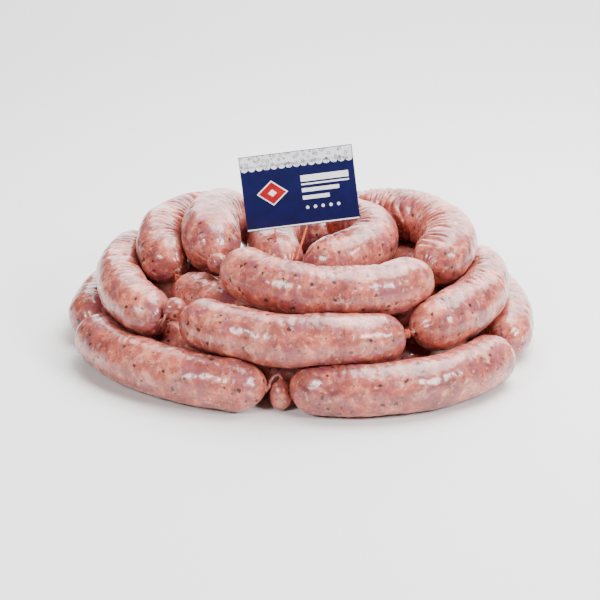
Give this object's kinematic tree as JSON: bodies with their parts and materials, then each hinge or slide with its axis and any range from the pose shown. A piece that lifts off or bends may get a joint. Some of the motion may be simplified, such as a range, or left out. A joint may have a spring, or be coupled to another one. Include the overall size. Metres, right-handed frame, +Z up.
{
  "type": "string of sausage links",
  "caption": "Fresh pork sausage links, still tied together in a string and coiled up into a round pile, with a printed card label on twine standing on top.",
  "frame": {"origin": "middle of the pile's footprint, on the surface that it lies on", "axes": "+Z up, +X to the right and -Y towards the viewer whom the label faces"},
  "size_m": [0.3152, 0.3076, 0.1309],
  "materials": {
    "sausage": "raw coarse-ground pork seen through a moist natural casing, glossy",
    "twine": "twisted orange and white cotton twine",
    "label_card": "laminated printed card, glossy"
  },
  "bodies": {
    "root": {"label_card": "label_card", "label_string_left": "twine", "label_string_right": "twine", "link_climbing_back": "sausage", "link_core_left": "sausage", "link_core_right": "sausage", "link_core_top": "sausage", "link_inner_back": "sausage", "link_inner_left": "sausage", "link_inner_right": "sausage", "link_middle_back": "sausage", "link_middle_front": "sausage", "link_middle_left": "sausage", "link_middle_right": "sausage", "link_outer_back": "sausage", "link_outer_front_left": "sausage", "link_outer_front_right": "sausage", "link_outer_left": "sausage", "link_outer_right": "sausage", "link_second_back": "sausage", "link_second_front": "sausage", "link_second_left": "sausage", "link_second_right": "sausage", "link_top_front": "sausage", "link_top_left": "sausage", "link_top_middle": "sausage", "link_top_middle_left": "sausage", "link_top_middle_right": "sausage", "link_top_right": "sausage", "nub_outer_front": "sausage", "nub_second": "sausage", "nub_top": "sausage", "tie_01": "twine", "tie_02": "twine", "tie_03": "twine", "tie_04": "twine", "tie_05": "twine", "tie_06": "twine", "tie_07": "twine", "tie_08": "twine", "tie_09": "twine", "tie_10": "twine", "tie_11": "twine", "tie_12": "twine", "tie_13": "twine", "tie_14": "twine", "tie_15": "twine", "tie_16": "twine", "tie_17": "twine", "tie_18": "twine", "tie_19": "twine", "tie_20": "twine", "tie_21": "twine", "tie_22": "twine", "tie_23": "twine", "tie_24": "twine", "tie_25": "twine", "tie_26": "twine", "tie_27": "twine"}
  },
  "joints": []
}
